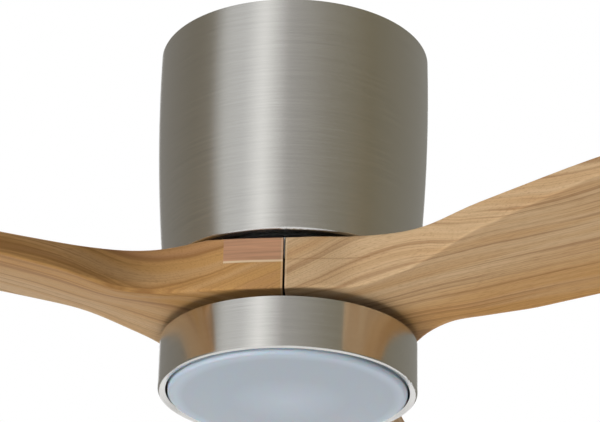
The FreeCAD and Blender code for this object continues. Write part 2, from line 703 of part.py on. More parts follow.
def cover_holes(r):
    top = MOTOR_HEIGHT / 2
    hole = cylinder(r, top - COVER_FLANGE_T - PAST, top + PAST, MOTOR_R + COVER_FLANGE / 2)
    return around(hole, COVER_SCREWS, 180.0 / COVER_SCREWS)


def rotor_bottom_cover():
    cover = cut_all(spun(cover_profile(MOTOR_R - COVER_WALL)), cover_holes(COVER_SCREW_R))
    tap = cylinder(COVER_SCREW_R, -PAST, COVER_T + PAST, HUB_SCREW_PITCH_R)
    return moved(cut_all(cover, around(tap, HUB_SCREWS)), 0, 0, Z_MOTOR_BOTTOM)


def rotor_top_cover():
    cover = cut_all(spun(cover_profile(MOTOR_R - COVER_WALL)), cover_holes(COVER_SCREW_R + FREE))
    slot = sector(BOSS_R + VENT_IN, MOTOR_R - VENT_OUT, -PAST, COVER_T + PAST, VENT_ANGLE)
    cover = cut_all(cover, around(slot, VENTS))
    cover.rotate(ORIGIN, V(1, 0, 0), 180)
    return moved(cover, 0, 0, Z_MOTOR_TOP)


def cover_screws():
    body = screw(COVER_SCREW_R, 2 * COVER_FLANGE_T)
    body.rotate(ORIGIN, V(1, 0, 0), 180)
    body = moved(body, MOTOR_R + COVER_FLANGE / 2, 0, Z_MOTOR_MIDDLE + COVER_FLANGE_T)
    return around(body, COVER_SCREWS, 180.0 / COVER_SCREWS)


def back_iron():
    return ring(MAGNET_R, IRON_R, Z_MOTOR_BOTTOM + COVER_T, Z_MOTOR_TOP - COVER_T)


def rotor_magnets():
    magnet = sector(ROTOR_BORE_R, MAGNET_R, Z_STACK - MAGNET_OVERHANG, Z_STACK + STACK + MAGNET_OVERHANG,
                    360.0 / MAGNETS - MAGNET_SPACE)
    return around(magnet, MAGNETS)


def stator_core():
    z1 = Z_STACK + STACK
    core = ring(SHAFT_R, YOKE_R, Z_STACK, z1)
    one = block(YOKE_R - PAST, STATOR_R - SHOE_T / 2, -TOOTH_WIDTH / 2, TOOTH_WIDTH / 2, Z_STACK, z1)
    one = one.fuse(sector(STATOR_R - SHOE_T, STATOR_R, Z_STACK, z1, SHOE_ANGLE))
    return core.multiFuse(around(one, TEETH)).removeSplitter()


def stator_windings():
    """One coil round each tooth, wound between the yoke and the pole shoe."""
    r0, r1 = YOKE_R + COIL_SPACE_IN, STATOR_R - SHOE_T - COIL_SPACE_OUT
    wide = TOOTH_WIDTH / 2 + COIL_T
    z0, z1 = Z_STACK - COIL_OVERHANG, Z_STACK + STACK + COIL_OVERHANG
    coil = block(r0, r1, -wide, wide, z0, z1)
    coil = coil.makeFillet(COIL_ROUND, [e for e in coil.Edges if e.BoundBox.XLength > (r1 - r0) / 2])
    coil = coil.cut(block(r0 - PAST, r1 + PAST, -TOOTH_WIDTH / 2, TOOTH_WIDTH / 2, Z_STACK, Z_STACK + STACK))
    return around(coil, TEETH)


# ---------------------------------------------------------------- hub, blades and bolts
def blade_angle(i):
    """Direction of a blade's axis. The seam between the last two blades faces -Y."""
    return 90.0 + 360.0 * i / BLADES


def pin_places():
    return [on_circle(HUB_PLATE_R, blade_angle(i) + 180.0 / BLADES) for i in range(BLADES)]


def hub_plate():
    """The black steel disc under the motor that the blades are bolted to."""
    plate = ring(HUB_BORE_R, HUB_PLATE_R, Z_ROOT_TOP, Z_HUB_TOP)
    hole = sunk_hole(COVER_SCREW_R, HUB_SCREW_PITCH_R, 0, Z_ROOT_TOP, HUB_PLATE_T)
    plate = cut_all(plate, around(hole, HUB_SCREWS))
    for x, y in bolt_places():
        plate = plate.cut(cylinder(BOLT_R, Z_ROOT_TOP - PAST, Z_HUB_TOP + PAST, x, y))
    for x, y in pin_places():
        plate = plate.cut(cylinder(PIN_R, Z_ROOT_TOP - PAST, Z_HUB_TOP + PAST, x, y))
    return plate


def hub_screws():
    body = sunk_screw(COVER_SCREW_R, HUB_PLATE_T + COVER_T)
    return around(moved(body, HUB_SCREW_PITCH_R, 0, Z_ROOT_TOP), HUB_SCREWS)


def bolt_places():
    return [on_circle(BOLT_PITCH_R, blade_angle(i) + side * BOLT_SPREAD)
            for i in range(BLADES) for side in (-1, 0, 1)]


def along(values, share):
    """A value at a share of the free length, on cubic curves through the values at the places."""
    last = len(PLACES) - 1
    k = max(i for i in range(last) if PLACES[i] <= share or i == 0)
    span = PLACES[k + 1] - PLACES[k]
    t = (share - PLACES[k]) / span

    def slope(i):
        before, after = max(0, i - 1), min(last, i + 1)
        return (values[after] - values[before]) / (PLACES[after] - PLACES[before]) * span

    start = (2 * t ** 3 - 3 * t ** 2 + 1) * values[k] + (t ** 3 - 2 * t ** 2 + t) * slope(k)
    return start + (3 * t ** 2 - 2 * t ** 3) * values[k + 1] + (t ** 3 - t ** 2) * slope(k + 1)


def blade_station(x, lead_y, trail_y, lead_z, trail_z, lead_t, trail_t):
    """Points round the section across a blade: rounded corners, a flat underside and a low crown on top."""
    low_lead = V(x, lead_y, Z_ROOT_BOTTOM + lead_z)
    low_trail = V(x, trail_y, Z_ROOT_BOTTOM + trail_z)
    high_lead = low_lead + V(0, 0, lead_t + PLANED)
    high_trail = low_trail + V(0, 0, trail_t + PLANED)
    corners = [low_lead, low_trail, high_trail, high_lead]
    crisp = min(EDGE_ROUND, ROUND_SHARE * lead_t, ROUND_SHARE * trail_t)
    trims = [crisp, max(crisp, min(soft_round(x), SOFT_SHARE * trail_t)), crisp, crisp]
    rounding = [k / 3 for k in range(4)]
    points = []
    for k, (corner, trim) in enumerate(zip(corners, trims)):
        a = corner + (corners[k - 1] - corner).normalize() * trim
        b = corner + (corners[(k + 1) % 4] - corner).normalize() * trim
        for step in rounding:
            points.append(a * (1 - step) ** 2 + corner * (2 * step * (1 - step)) + b * step ** 2)
    crown = TOP_CROWN * (1 - (lead_t + trail_t) / (2 * ROOT_THICKNESS))
    split = 3 * len(rounding)     # the top lies between the third corner's points and the fourth's
    right, left = points[split - 1], points[split]
    shares = [k / 4 for k in (1, 2, 3)]
    top = [right * (1 - u) + left * u + V(0, 0, crown * 4 * u * (1 - u)) for u in shares]
    return points[:split] + top + points[split:]


def soft_round(x):
    """Rounding of the trailing edge's underside along the blade: it swells and fades again."""
    if not SOFT_FROM < x < SOFT_TO:
        return 0.0
    near, far = (SOFT_FROM, SOFT_PEAK) if x < SOFT_PEAK else (SOFT_TO, SOFT_PEAK)
    share = (x - near) / (far - near)
    return SOFT_ROUND * share * share * (3 - 2 * share)


def skinned(sections):
    """A solid whose long edges are smooth curves through the matching points of each section."""
    rails = []
    for points in zip(*sections):
        curve = Part.BSplineCurve()
        curve.interpolate(list(points))
        rails.append(curve.toShape())
    faces = [Part.makeRuledSurface(a, b) for a, b in zip(rails, rails[1:] + rails[:1])]
    faces += [Part.Face(Part.makePolygon(ends + ends[:1])) for ends in (sections[0], sections[-1])]
    shell = Part.makeShell(faces)
    shell.sewShape()
    solid = Part.makeSolid(shell)
    if solid.Volume < 0:
        solid.reverse()
    return solid


def blade_values(x):
    """Edge places, heights and thicknesses at a distance from the axis."""
    half = math.radians(180.0 / BLADES)
    seam_x, seam_y = ROOT_R * math.cos(half), ROOT_R * math.sin(half)
    if x >= NECK_X:
        free = (x - NECK_X) / (SWEEP_R - NECK_X)
        curves = (LEAD_EDGE, TRAIL_EDGE, LEAD_RISE, TRAIL_RISE, LEAD_T, TRAIL_T)
        return [along(values, free) for values in curves]
    share = (x - seam_x) / (NECK_X - seam_x)
    bow = ROOT_BOW * 4 * share * (1 - share) if share > 0 else 0.0
    lead_y = -seam_y + (LEAD_EDGE[0] + seam_y) * share - bow
    trail_y = seam_y + (TRAIL_EDGE[0] - seam_y) * share + bow
    return [lead_y, trail_y, 0.0, 0.0, 1.0, 1.0]


def blade_sections():
    """Sections at an even pitch, from inside the hub to a little past the tip."""
    first = ROOT_BORE_R * math.cos(math.radians(180.0 / BLADES)) - HUB_OVERLAP
    count = math.ceil((SWEEP_R + TIP_SPARE - first) / SECTION_PITCH)
    pitch = (SWEEP_R + TIP_SPARE - first) / count
    sections = []
    for i in range(count + 1):
        x = first + i * pitch
        lead_y, trail_y, lead_z, trail_z, lead_t, trail_t = blade_values(x)
        sections.append(blade_station(x, lead_y, trail_y, lead_z, trail_z,
                                      lead_t * ROOT_THICKNESS, trail_t * ROOT_THICKNESS))
    return sections


def tip_corner(size, edge, tip_y):
    """A rounded corner of the tip: from just outside the blade's edge round to the tip's end."""
    slant = math.sqrt(0.5)
    edge_y = blade_values(SWEEP_R - size)[edge]
    start_y = edge_y + math.copysign(PAST, edge_y)
    end_y = tip_y - math.copysign(size, tip_y)
    z = Z_ROOT_BOTTOM - ROOT_THICKNESS
    middle = V(SWEEP_R - size + size * slant, end_y + (start_y - end_y) * slant, z)
    return V(SWEEP_R - size, start_y, z), middle, V(SWEEP_R, end_y, z)


def tip_outline():
    """The plan of the blade's outer end: a large rounded corner in front and a small one behind."""
    lead_corner = tip_corner(TIP_CORNER_LEAD, 0, LEAD_EDGE[-1])
    trail_corner = tip_corner(TIP_CORNER_TRAIL, 1, TRAIL_EDGE[-1])
    wide = 2 * ROOT_R
    z = lead_corner[0].z
    before = [V(0, -wide, z), V(lead_corner[0].x, -wide, z), lead_corner[0]]
    after = [trail_corner[0], V(trail_corner[0].x, wide, z), V(0, wide, z), before[0]]
    edges = [Part.LineSegment(a, b) for path in (before, after) for a, b in zip(path, path[1:])]
    edges += [Part.Arc(*lead_corner), Part.Arc(*trail_corner)]
    edges.append(Part.LineSegment(lead_corner[2], trail_corner[2]))
    face = Part.Face(Part.Wire(Part.__sortEdges__([e.toShape() for e in edges])))
    return face.extrude(V(0, 0, 3 * ROOT_THICKNESS))


def blade_blank():
    """One blade along +X, with its bolt holes, its pocket for the clamp plate and its pin notches."""
    body = skinned(blade_sections())
    z0, z1 = Z_ROOT_BOTTOM - ROOT_THICKNESS, Z_ROOT_TOP + ROOT_THICKNESS
    half = 180.0 / BLADES
    for side in (1, -1):
        # the half plane beyond a seam, moved in by half the gap
        waste = Part.makeBox(4 * ROOT_R, 4 * ROOT_R, z1 - z0, V(-2 * ROOT_R, -SEAM / 2, z0))
        if side == -1:
            waste.translate(V(0, SEAM - 4 * ROOT_R, 0))
        body = body.cut(turned(waste, side * half))
    body = body.cut(cylinder(ROOT_BORE_R, z0, z1)).common(tip_outline())
    body = body.cut(block(0, SWEEP_R, -SWEEP_R, SWEEP_R, Z_ROOT_TOP, z1))
    body = body.cut(cylinder(CLAMP_R + FREE, z0, Z_ROOT_BOTTOM + CLAMP_T))
    for side in (-1, 0, 1):
        x, y = on_circle(BOLT_PITCH_R, side * BOLT_SPREAD)
        body = body.cut(cylinder(BOLT_R + FREE, z0, z1, x, y))
        if side:
            x, y = on_circle(HUB_PLATE_R, side * half)
            body = body.cut(cylinder(PIN_R, Z_ROOT_TOP - PIN_LENGTH, z1, x, y))
    return body


def clamp_plate():
    """The steel disc let into the blades' underside."""
    plate = ring(HUB_BORE_R, CLAMP_R, Z_ROOT_BOTTOM, Z_ROOT_BOTTOM + CLAMP_T)
    for x, y in bolt_places():
        plate = plate.cut(cylinder(BOLT_R + FREE, Z_ROOT_BOTTOM - PAST, Z_ROOT_TOP, x, y))
    return plate


def blade_bolts():
    body = screw(BOLT_R, ROOT_THICKNESS + HUB_PLATE_T)
    return [moved(body, x, y, Z_ROOT_BOTTOM) for x, y in bolt_places()]


def seam_pins():
    """A steel pin in each seam that lines up two blades and the hub plate."""
    body = cylinder(PIN_R, Z_ROOT_TOP - PIN_LENGTH, Z_ROOT_TOP + PIN_SHOWING)
    return [moved(body, x, y, 0) for x, y in pin_places()]


# ---------------------------------------------------------------- light
def light_ring():
    """A thin spun ring: a flange at the top, a straight wall, and a rolled bottom edge with a low lip."""
    slant = math.sqrt(0.5)
    z_roll = Z_RING_BOTTOM + RING_ROLL
    r_roll = RING_R - RING_ROLL
    lip_top = Z_RING_BOTTOM + RING_LIP_HEIGHT
    edges = [
        line((RING_R - RING_FLANGE, Z_RING_TOP), (RING_R, Z_RING_TOP)),
        line((RING_R, Z_RING_TOP), (RING_R, z_roll)),
        bend((RING_R, z_roll), (r_roll + RING_ROLL * slant, z_roll - RING_ROLL * slant),
             (r_roll, Z_RING_BOTTOM)),
        line((r_roll, Z_RING_BOTTOM), (RING_LIP_R, Z_RING_BOTTOM + RING_WALL)),
        line((RING_LIP_R, Z_RING_BOTTOM + RING_WALL), (RING_LIP_R, lip_top)),
        line((RING_LIP_R, lip_top), (RING_LIP_R + RING_WALL, lip_top)),
        line((RING_LIP_R + RING_WALL, lip_top), (RING_LIP_R + RING_WALL, z_roll + RING_WALL)),
        line((RING_LIP_R + RING_WALL, z_roll + RING_WALL), (RING_R - RING_WALL, z_roll + RING_WALL)),
        line((RING_R - RING_WALL, z_roll + RING_WALL), (RING_R - RING_WALL, Z_PAN_TOP)),
        line((RING_R - RING_WALL, Z_PAN_TOP), (RING_R - RING_FLANGE, Z_PAN_TOP)),
        line((RING_R - RING_FLANGE, Z_PAN_TOP), (RING_R - RING_FLANGE, Z_RING_TOP)),
    ]
    hole = cylinder(RING_SCREW_R, Z_PAN_TOP - PAST, Z_RING_TOP + PAST, RING_SCREW_PITCH_R)
    return cut_all(spun(edges), around(hole, RING_SCREWS, 180.0 / RING_SCREWS))


def light_pan():
    """The steel disc that the shaft's lower nut holds, and that the ring and the tray hang from."""
    pan = ring(SHAFT_R, RING_R - RING_WALL - FREE, Z_PAN, Z_PAN_TOP)
    hole = cylinder(RING_SCREW_R + FREE, Z_PAN - PAST, Z_PAN_TOP + PAST, RING_SCREW_PITCH_R)
    tap = cylinder(RING_SCREW_R, Z_PAN - PAST, Z_PAN_TOP + PAST, TRAY_SCREW_PITCH_R)
    return cut_all(pan, around(hole, RING_SCREWS, 180.0 / RING_SCREWS) + around(tap, TRAY_SCREWS))


def ring_screws():
    body = screw(RING_SCREW_R, PAN_T + RING_WALL)
    return around(moved(body, RING_SCREW_PITCH_R, 0, Z_PAN), RING_SCREWS, 180.0 / RING_SCREWS)


def led_tray():
    """The aluminium heat spreader: a flange under the pan, a wall, and a floor that the lens hooks on."""
    tray = spun(outline(
        (TRAY_FLANGE_R, Z_PAN), (TRAY_WALL_R, Z_PAN), (TRAY_WALL_R, Z_TRAY_TOP), (TRAY_R, Z_TRAY_TOP),
        (TRAY_R, Z_TRAY), (0, Z_TRAY), (0, Z_TRAY_TOP), (TRAY_WALL_R - TRAY_WALL, Z_TRAY_TOP),
        (TRAY_WALL_R - TRAY_WALL, Z_PAN - TRAY_WALL), (TRAY_FLANGE_R, Z_PAN - TRAY_WALL),
    ))
    notch = sector(LUG_R - FREE, TRAY_R + PAST, Z_TRAY - PAST, Z_TRAY_TOP + PAST, LUG_ANGLE + NOTCH_SPARE)
    hole = cylinder(RING_SCREW_R + FREE, Z_PAN - TRAY_WALL - PAST, Z_PAN + PAST, TRAY_SCREW_PITCH_R)
    tap = cylinder(BOARD_SCREW_R, Z_TRAY - PAST, Z_TRAY_TOP + PAST, BOARD_SCREW_PITCH_R)
    holes = around(hole, TRAY_SCREWS) + around(tap, BOARD_SCREWS, BOARD_SCREW_ANGLE)
    return cut_all(tray, around(notch, LUGS, TWIST) + holes)


def tray_screws():
    body = screw(RING_SCREW_R, TRAY_WALL + PAN_T)
    return around(moved(body, TRAY_SCREW_PITCH_R, 0, Z_PAN - TRAY_WALL), TRAY_SCREWS)


def led_driver():
    half = LED_DRIVER_WIDTH / 2
    body = block(LED_DRIVER_X, LED_DRIVER_X + LED_DRIVER_LENGTH, -half, half,
                 Z_TRAY_TOP, Z_TRAY_TOP + LED_DRIVER_HEIGHT)
    upright = [e for e in body.Edges if e.BoundBox.ZLength > LED_DRIVER_HEIGHT / 2]
    return body.makeFillet(LED_DRIVER_ROUND, upright)


def led_board():
    board = cylinder(LED_BOARD_R, Z_TRAY - BOARD_T, Z_TRAY)
    hole = cylinder(BOARD_SCREW_R + FREE, Z_TRAY - BOARD_T - PAST, Z_TRAY + PAST, BOARD_SCREW_PITCH_R)
    return cut_all(board, around(hole, BOARD_SCREWS, BOARD_SCREW_ANGLE))


def led_chips():
    z = Z_TRAY - BOARD_T
    chips = []
    for r, count in LED_CIRCLES:
        chip = block(r - LED_SIZE / 2, r + LED_SIZE / 2, -LED_SIZE / 2, LED_SIZE / 2, z - LED_T, z)
        chips += around(chip, count)
    return chips


def board_screws():
    body = screw(BOARD_SCREW_R, BOARD_T + TRAY_T)
    return around(moved(body, BOARD_SCREW_PITCH_R, 0, Z_TRAY - BOARD_T), BOARD_SCREWS, BOARD_SCREW_ANGLE)


def lens():
    """The opal lens: a straight wall, a rounded edge, a low crown, and three lugs that hook over the tray."""
    z_edge = Z_RING_BOTTOM + LENS_SET_BACK
    z_face = z_edge - LENS_EDGE_R
    z_crown = z_face - LENS_CROWN
    slant = math.sqrt(0.5)
    top = Z_LUG + LUG_T
    r_in, edge_in = LENS_R - LENS_WALL, LENS_EDGE_R - LENS_WALL
    r_face = LENS_R - LENS_EDGE_R
    edges = [
        line((LENS_R, top), (LENS_R, z_edge)),
        bend((LENS_R, z_edge), (r_face + LENS_EDGE_R * slant, z_edge - LENS_EDGE_R * slant),
             (r_face, z_face)),
        cap(r_face, z_face, -LENS_CROWN),
        line((0, z_crown), (0, z_crown + LENS_WALL)),
        cap(r_face, z_face + LENS_WALL, -LENS_CROWN),
        bend((r_face, z_face + LENS_WALL), (r_face + edge_in * slant, z_edge - edge_in * slant),
             (r_in, z_edge)),
        line((r_in, z_edge), (r_in, top)),
        line((r_in, top), (LENS_R, top)),
    ]
    lug = sector(LUG_R, r_in + LENS_WALL / 2, Z_LUG, top, LUG_ANGLE)
    return spun(edges).multiFuse(around(lug, LUGS)).removeSplitter()


# ---------------------------------------------------------------- write
def write(name, shape):
    solids = shape if isinstance(shape, list) else [shape]
    made = Part.makeCompound([s for one in solids for s in one.Solids])
    made.exportStep(os.path.join("parts", name + ".step"))
    box = made.BoundBox
    print(f"{name:22s} solids {len(made.Solids):3d}  valid {made.isValid()}"
          f"  volume {made.Volume / 1000:9.2f} cm3  z {box.ZMin:8.1f} {box.ZMax:8.1f}")


def main():
    os.makedirs("parts", exist_ok=True)
    blank = blade_blank()
    for i in range(BLADES):
        write(f"blade_{i + 1}", turned(blank, blade_angle(i)))
    for make in (
        mounting_plate, earth_screw, housing_shell, shell_screws, support_posts, upper_post_screws,
        lower_post_screws, motor_support_plate, terminal_block, terminal_screws, driver_bracket,
        driver_case, driver_lid, driver_board, driver_components, mains_lead, motor_lead, light_lead,
        motor_shaft, shaft_spacers, shaft_nuts, bearing_inner_races, bearing_outer_races, bearing_balls,
        bearing_cages, rotor_bottom_cover, rotor_top_cover, cover_screws, back_iron, rotor_magnets,
        stator_core, stator_windings, hub_plate, hub_screws, clamp_plate, blade_bolts, seam_pins,
        light_ring, light_pan, ring_screws, led_tray, tray_screws, led_driver, led_board, led_chips,
        board_screws, lens,
    ):
        write(make.__name__, make())


main()
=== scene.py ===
"""Low-profile ceiling fan with wooden blades and a round light.

The CAD model is the frame: every node keeps its shape and place, in metres, with +Z up and the
origin in the ceiling plane. This script gives each node its finish and builds the studio.
"""

import math

import bpy
import numpy as np
from bpy.props import FloatProperty, FloatVectorProperty, PointerProperty
from bpy.types import Operator, Panel, PropertyGroup
from mathutils import Matrix, Vector


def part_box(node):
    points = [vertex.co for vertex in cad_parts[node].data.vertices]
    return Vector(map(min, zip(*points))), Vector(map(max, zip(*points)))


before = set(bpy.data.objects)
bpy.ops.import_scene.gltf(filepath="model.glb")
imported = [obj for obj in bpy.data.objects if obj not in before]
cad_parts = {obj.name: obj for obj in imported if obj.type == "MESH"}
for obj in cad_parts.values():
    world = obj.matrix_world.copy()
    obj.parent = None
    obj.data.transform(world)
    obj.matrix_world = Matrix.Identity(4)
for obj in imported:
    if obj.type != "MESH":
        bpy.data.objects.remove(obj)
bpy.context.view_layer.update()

bl_info = {
    "name": "Ceiling Fan",
    "version": (1, 0, 0),
    "blender": (4, 5, 0),
    "location": "View3D > Sidebar > Fan",
    "description": "Finishes and studio for a low-profile ceiling fan with a light",
    "category": "Object",
}


BLACK, WHITE = (0.0, 0.0, 0.0), (1.0, 1.0, 1.0)
PITH = (0.40, -0.62)       # the pith's place across a blade and its height
CAMERA_SIDE = math.radians(-87.06)
# What the metal mirrors, by degrees round from the camera's side: dim warm walls and two softboxes.
CARD = (
    (-160.0, (0.27, 0.26, 0.24)), (-90.0, (0.21, 0.19, 0.15)), (-73.0, (0.24, 0.22, 0.18)),
    (-60.0, (0.62, 0.62, 0.60)), (-42.0, (0.66, 0.66, 0.65)), (-26.0, (1.02, 1.02, 1.0)),
    (-5.0, (0.43, 0.42, 0.40)), (30.0, (0.28, 0.26, 0.21)), (65.0, (0.21, 0.185, 0.125)),
    (150.0, (0.28, 0.27, 0.24)),
)
LENS_R = 0.5 * (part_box("lens")[1][0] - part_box("lens")[0][0])
BLADE_ANGLES = (90.0, 210.0, 330.0)
BLADE_SHIFTS = ((0.0, 0.004, 0.0), (0.61, -0.018, 0.013), (-0.87, 0.022, -0.009))


# ---------------------------------------------------------------- node helpers
class Sheet:
    """A material's node tree, with short ways to add and join nodes."""

    def __init__(self, name):
        old = bpy.data.materials.get(name)
        self.material = old or bpy.data.materials.new(name)
        self.material.use_nodes = True
        self.tree = self.material.node_tree
        self.tree.nodes.clear()
        self.out = self.tree.nodes.new("ShaderNodeOutputMaterial")

    def join(self, value, socket):
        """Links a socket, or sets a plain value."""
        if isinstance(value, bpy.types.NodeSocket):
            self.tree.links.new(value, socket)
        else:
            socket.default_value = value

    def node(self, kind, inputs=None, **settings):
        made = self.tree.nodes.new("ShaderNode" + kind)
        for key, value in settings.items():
            setattr(made, key, value)
        for key, value in (inputs or {}).items():
            self.join(value, made.inputs[key])
        return made

    def math(self, operation, a, b=0.0, c=0.0, clamp=False):
        made = self.node("Math", operation=operation, use_clamp=clamp)
        for value, socket in zip((a, b, c), made.inputs):
            self.join(value, socket)
        return made.outputs[0]

    def noise(self, vector, scale, detail=2.0, roughness=0.5, distortion=0.0):
        made = self.node("TexNoise", {"Vector": vector, "Scale": scale, "Detail": detail,
                                      "Roughness": roughness, "Distortion": distortion})
        return made.outputs["Fac"]

    def stretch(self, vector, scale, rotation=(0.0, 0.0, 0.0), location=(0.0, 0.0, 0.0)):
        made = self.node("Mapping", {"Vector": vector, "Location": location,
                                     "Rotation": rotation, "Scale": scale})
        return made.outputs["Vector"]

    def ramp(self, fac, *stops, smooth=False):
        made = self.node("ValToRGB", {"Fac": fac})
        made.color_ramp.interpolation = "EASE" if smooth else "LINEAR"
        points = made.color_ramp.elements
        while len(points) < len(stops):
            points.new(0.5)
        for point, (at, colour) in zip(points, stops):
            point.position = at
            point.color = (*colour, 1.0)
        return made.outputs["Color"]

    def mix(self, fac, a, b, blend="MIX"):
        made = self.node("Mix", data_type="RGBA", blend_type=blend)
        for value, socket in ((fac, made.inputs[0]), (a, made.inputs[6]), (b, made.inputs[7])):
            self.join(value, socket)
        return made.outputs[2]

    def bump(self, height, strength, distance):
        made = self.node("Bump", {"Height": height, "Strength": strength, "Distance": distance})
        return made.outputs["Normal"]

    def shade(self, **inputs):
        """A Principled shader on the output. Underscores in names stand for spaces."""
        made = self.node("BsdfPrincipled")
        for key, value in inputs.items():
            self.join(value, made.inputs[key.replace("_", " ")])
        self.tree.links.new(made.outputs["BSDF"], self.out.inputs["Surface"])
        return self.material


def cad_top(node):
    """Height of a node's highest point at rest."""
    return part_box(node)[1][2]


def object_coordinates(sheet):
    return sheet.node("TexCoord").outputs["Object"]


def finish(nodes, material):
    """Puts one material on each named CAD node."""
    for name in nodes:
        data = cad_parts[name].data
        data.materials.clear()
        data.materials.append(material)


# ---------------------------------------------------------------- materials
def brushed_nickel(look, name, roughness, inner=0.0):
    """Grain that runs round the axis: hairlines that are long in angle and fine in height.

    Above the mid height and inside the given radius the metal is painted near black: painted shade for the gap
    between the light's ring and the blades.
    """
    s = Sheet(name)
    p = s.node("SeparateXYZ", {"Vector": object_coordinates(s)}).outputs
    angle = s.math("ARCTAN2", p[1], p[0])
    wrapped = s.node("CombineXYZ", {"X": s.math("COSINE", angle), "Y": s.math("SINE", angle),
                                    "Z": p[2]}).outputs[0]
    hairlines = s.noise(s.stretch(wrapped, (2.5, 2.5, 1500.0)), 1.0, 3.0, 0.65)
    strokes = s.noise(s.stretch(wrapped, (1.2, 1.2, 260.0)), 1.0, 2.0, 0.5)
    grain = s.math("MULTIPLY_ADD", strokes, 0.16, s.math("MULTIPLY", hairlines, 0.84))
    tint = tuple(look.nickel)
    colour = s.ramp(grain, (0.32, tuple(0.90 * c for c in tint)), (0.68, tint))
    if inner:
        radius = s.math("SQRT", s.math("ADD", s.math("MULTIPLY", p[0], p[0]), s.math("MULTIPLY", p[1], p[1])))
        middle = 0.5 * (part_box("light_ring")[0][2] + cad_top("light_ring"))
        # Painted shade: the ring's upper inside is near black, where the blades shade it.
        painted_shade = s.math("MULTIPLY", s.math("LESS_THAN", radius, inner), s.math("GREATER_THAN", p[2], middle))
        colour = s.mix(painted_shade, colour, (0.035, 0.033, 0.03, 1.0))
    tangent = s.node("Tangent", direction_type="RADIAL", axis="Z").outputs[0]
    return s.shade(Base_Color=colour, Metallic=1.0, Roughness=s.math("MULTIPLY_ADD", grain, 0.10, roughness),
                   Anisotropic=0.85, Anisotropic_Rotation=0.25, Tangent=tangent,
                   Normal=s.bump(hairlines, 0.02, 0.0001))


def growth_rings(s, grain):
    """Distance from a pith that lies under the blade, bent by slow noise, and the place along the blade.

    A surface cut through such rings shows long lines where it runs along them and arches where it rises
    through them, as a carved plank does.
    """
    p = s.node("SeparateXYZ", {"Vector": grain}).outputs
    waver = s.math("SUBTRACT", s.noise(s.stretch(grain, (3.0, 6.0, 6.0)), 1.0, 1.0), 0.5)
    ripple = s.math("SUBTRACT", s.noise(s.stretch(grain, (14.0, 40.0, 40.0)), 1.0, 2.0), 0.5)
    y = s.math("SUBTRACT", p[1], PITH[0])
    z = s.math("SUBTRACT", p[2], PITH[1])
    square = s.math("ADD", s.math("MULTIPLY", y, y), s.math("MULTIPLY", z, z))
    r = s.math("MULTIPLY_ADD", waver, 0.034, s.math("SQRT", square))
    return s.math("MULTIPLY_ADD", ripple, 0.0035, r), p[0]


def ring_noise(s, r, along, per_metre, run, detail):
    """Noise that is quick from ring to ring and slow along the blade."""
    place = s.node("CombineXYZ", {"X": s.math("MULTIPLY", r, per_metre), "Y": s.math("MULTIPLY", along, run),
                                  "Z": 0.0}).outputs[0]
    return s.noise(place, 1.0, detail, 0.55)


def near(s, value, width):
    """1 where the value is 0, falling to 0 at the given width."""
    return s.math("SUBTRACT", 1.0, s.math("DIVIDE", s.math("ABSOLUTE", value), width), clamp=True)


def blade_wood(look, name, angle, shift):
    """Honey-coloured wood, its growth lines along the blade, with the glued block at the root."""
    s = Sheet(name)
    local = s.stretch(object_coordinates(s), (1.0, 1.0, 1.0), rotation=(0.0, 0.0, -angle))
    grain = s.stretch(local, (1.0, 1.0, 1.0), location=shift)
    r, along = growth_rings(s, grain)
    honey, tan, pink, pale, dark = (tuple(c) for c in (look.honey, look.tan, look.pink, look.pale, look.dark))

    bands = ring_noise(s, r, along, 55.0, 2.5, 2.0)
    light = s.ramp(bands, (0.34, tan), (0.50, pale), (0.62, tan), (0.72, pink))
    golden = s.ramp(bands, (0.32, pink), (0.46, honey), (0.58, honey), (0.72, tan))
    across = s.node("SeparateXYZ", {"Vector": local}).outputs[1]
    drift = s.math("MULTIPLY_ADD", s.math("SUBTRACT", bands, 0.5), 0.05, across)
    heart = s.ramp(s.math("MULTIPLY_ADD", drift, 10.0, 0.5), (0.22, BLACK), (0.72, WHITE))
    base = s.mix(heart, light, golden)
    lines = s.ramp(ring_noise(s, r, along, 260.0, 3.0, 2.0), (0.54, BLACK), (0.62, WHITE))
    fine = s.ramp(ring_noise(s, r, along, 1000.0, 5.0, 2.0), (0.46, BLACK), (0.68, WHITE))
    pores = s.noise(s.stretch(grain, (90.0, 1500.0, 1500.0)), 1.0, 2.0, 0.6)
    pits = s.ramp(pores, (0.52, BLACK), (0.68, WHITE))
    colour = s.mix(s.math("MULTIPLY", lines, 0.46), base, (*dark, 1.0))
    colour = s.mix(s.math("MULTIPLY", fine, 0.30), colour, (*dark, 1.0))
    colour = s.mix(s.math("MULTIPLY", pits, 0.30), colour, (*dark, 1.0))
    colour = root_block(s, look, local, colour)
    return s.shade(Base_Color=colour, Roughness=s.math("MULTIPLY_ADD", pores, 0.12, 0.50),
                   Specular_IOR_Level=0.15, Normal=s.bump(s.math("ADD", pores, lines), 0.05, 0.0002))


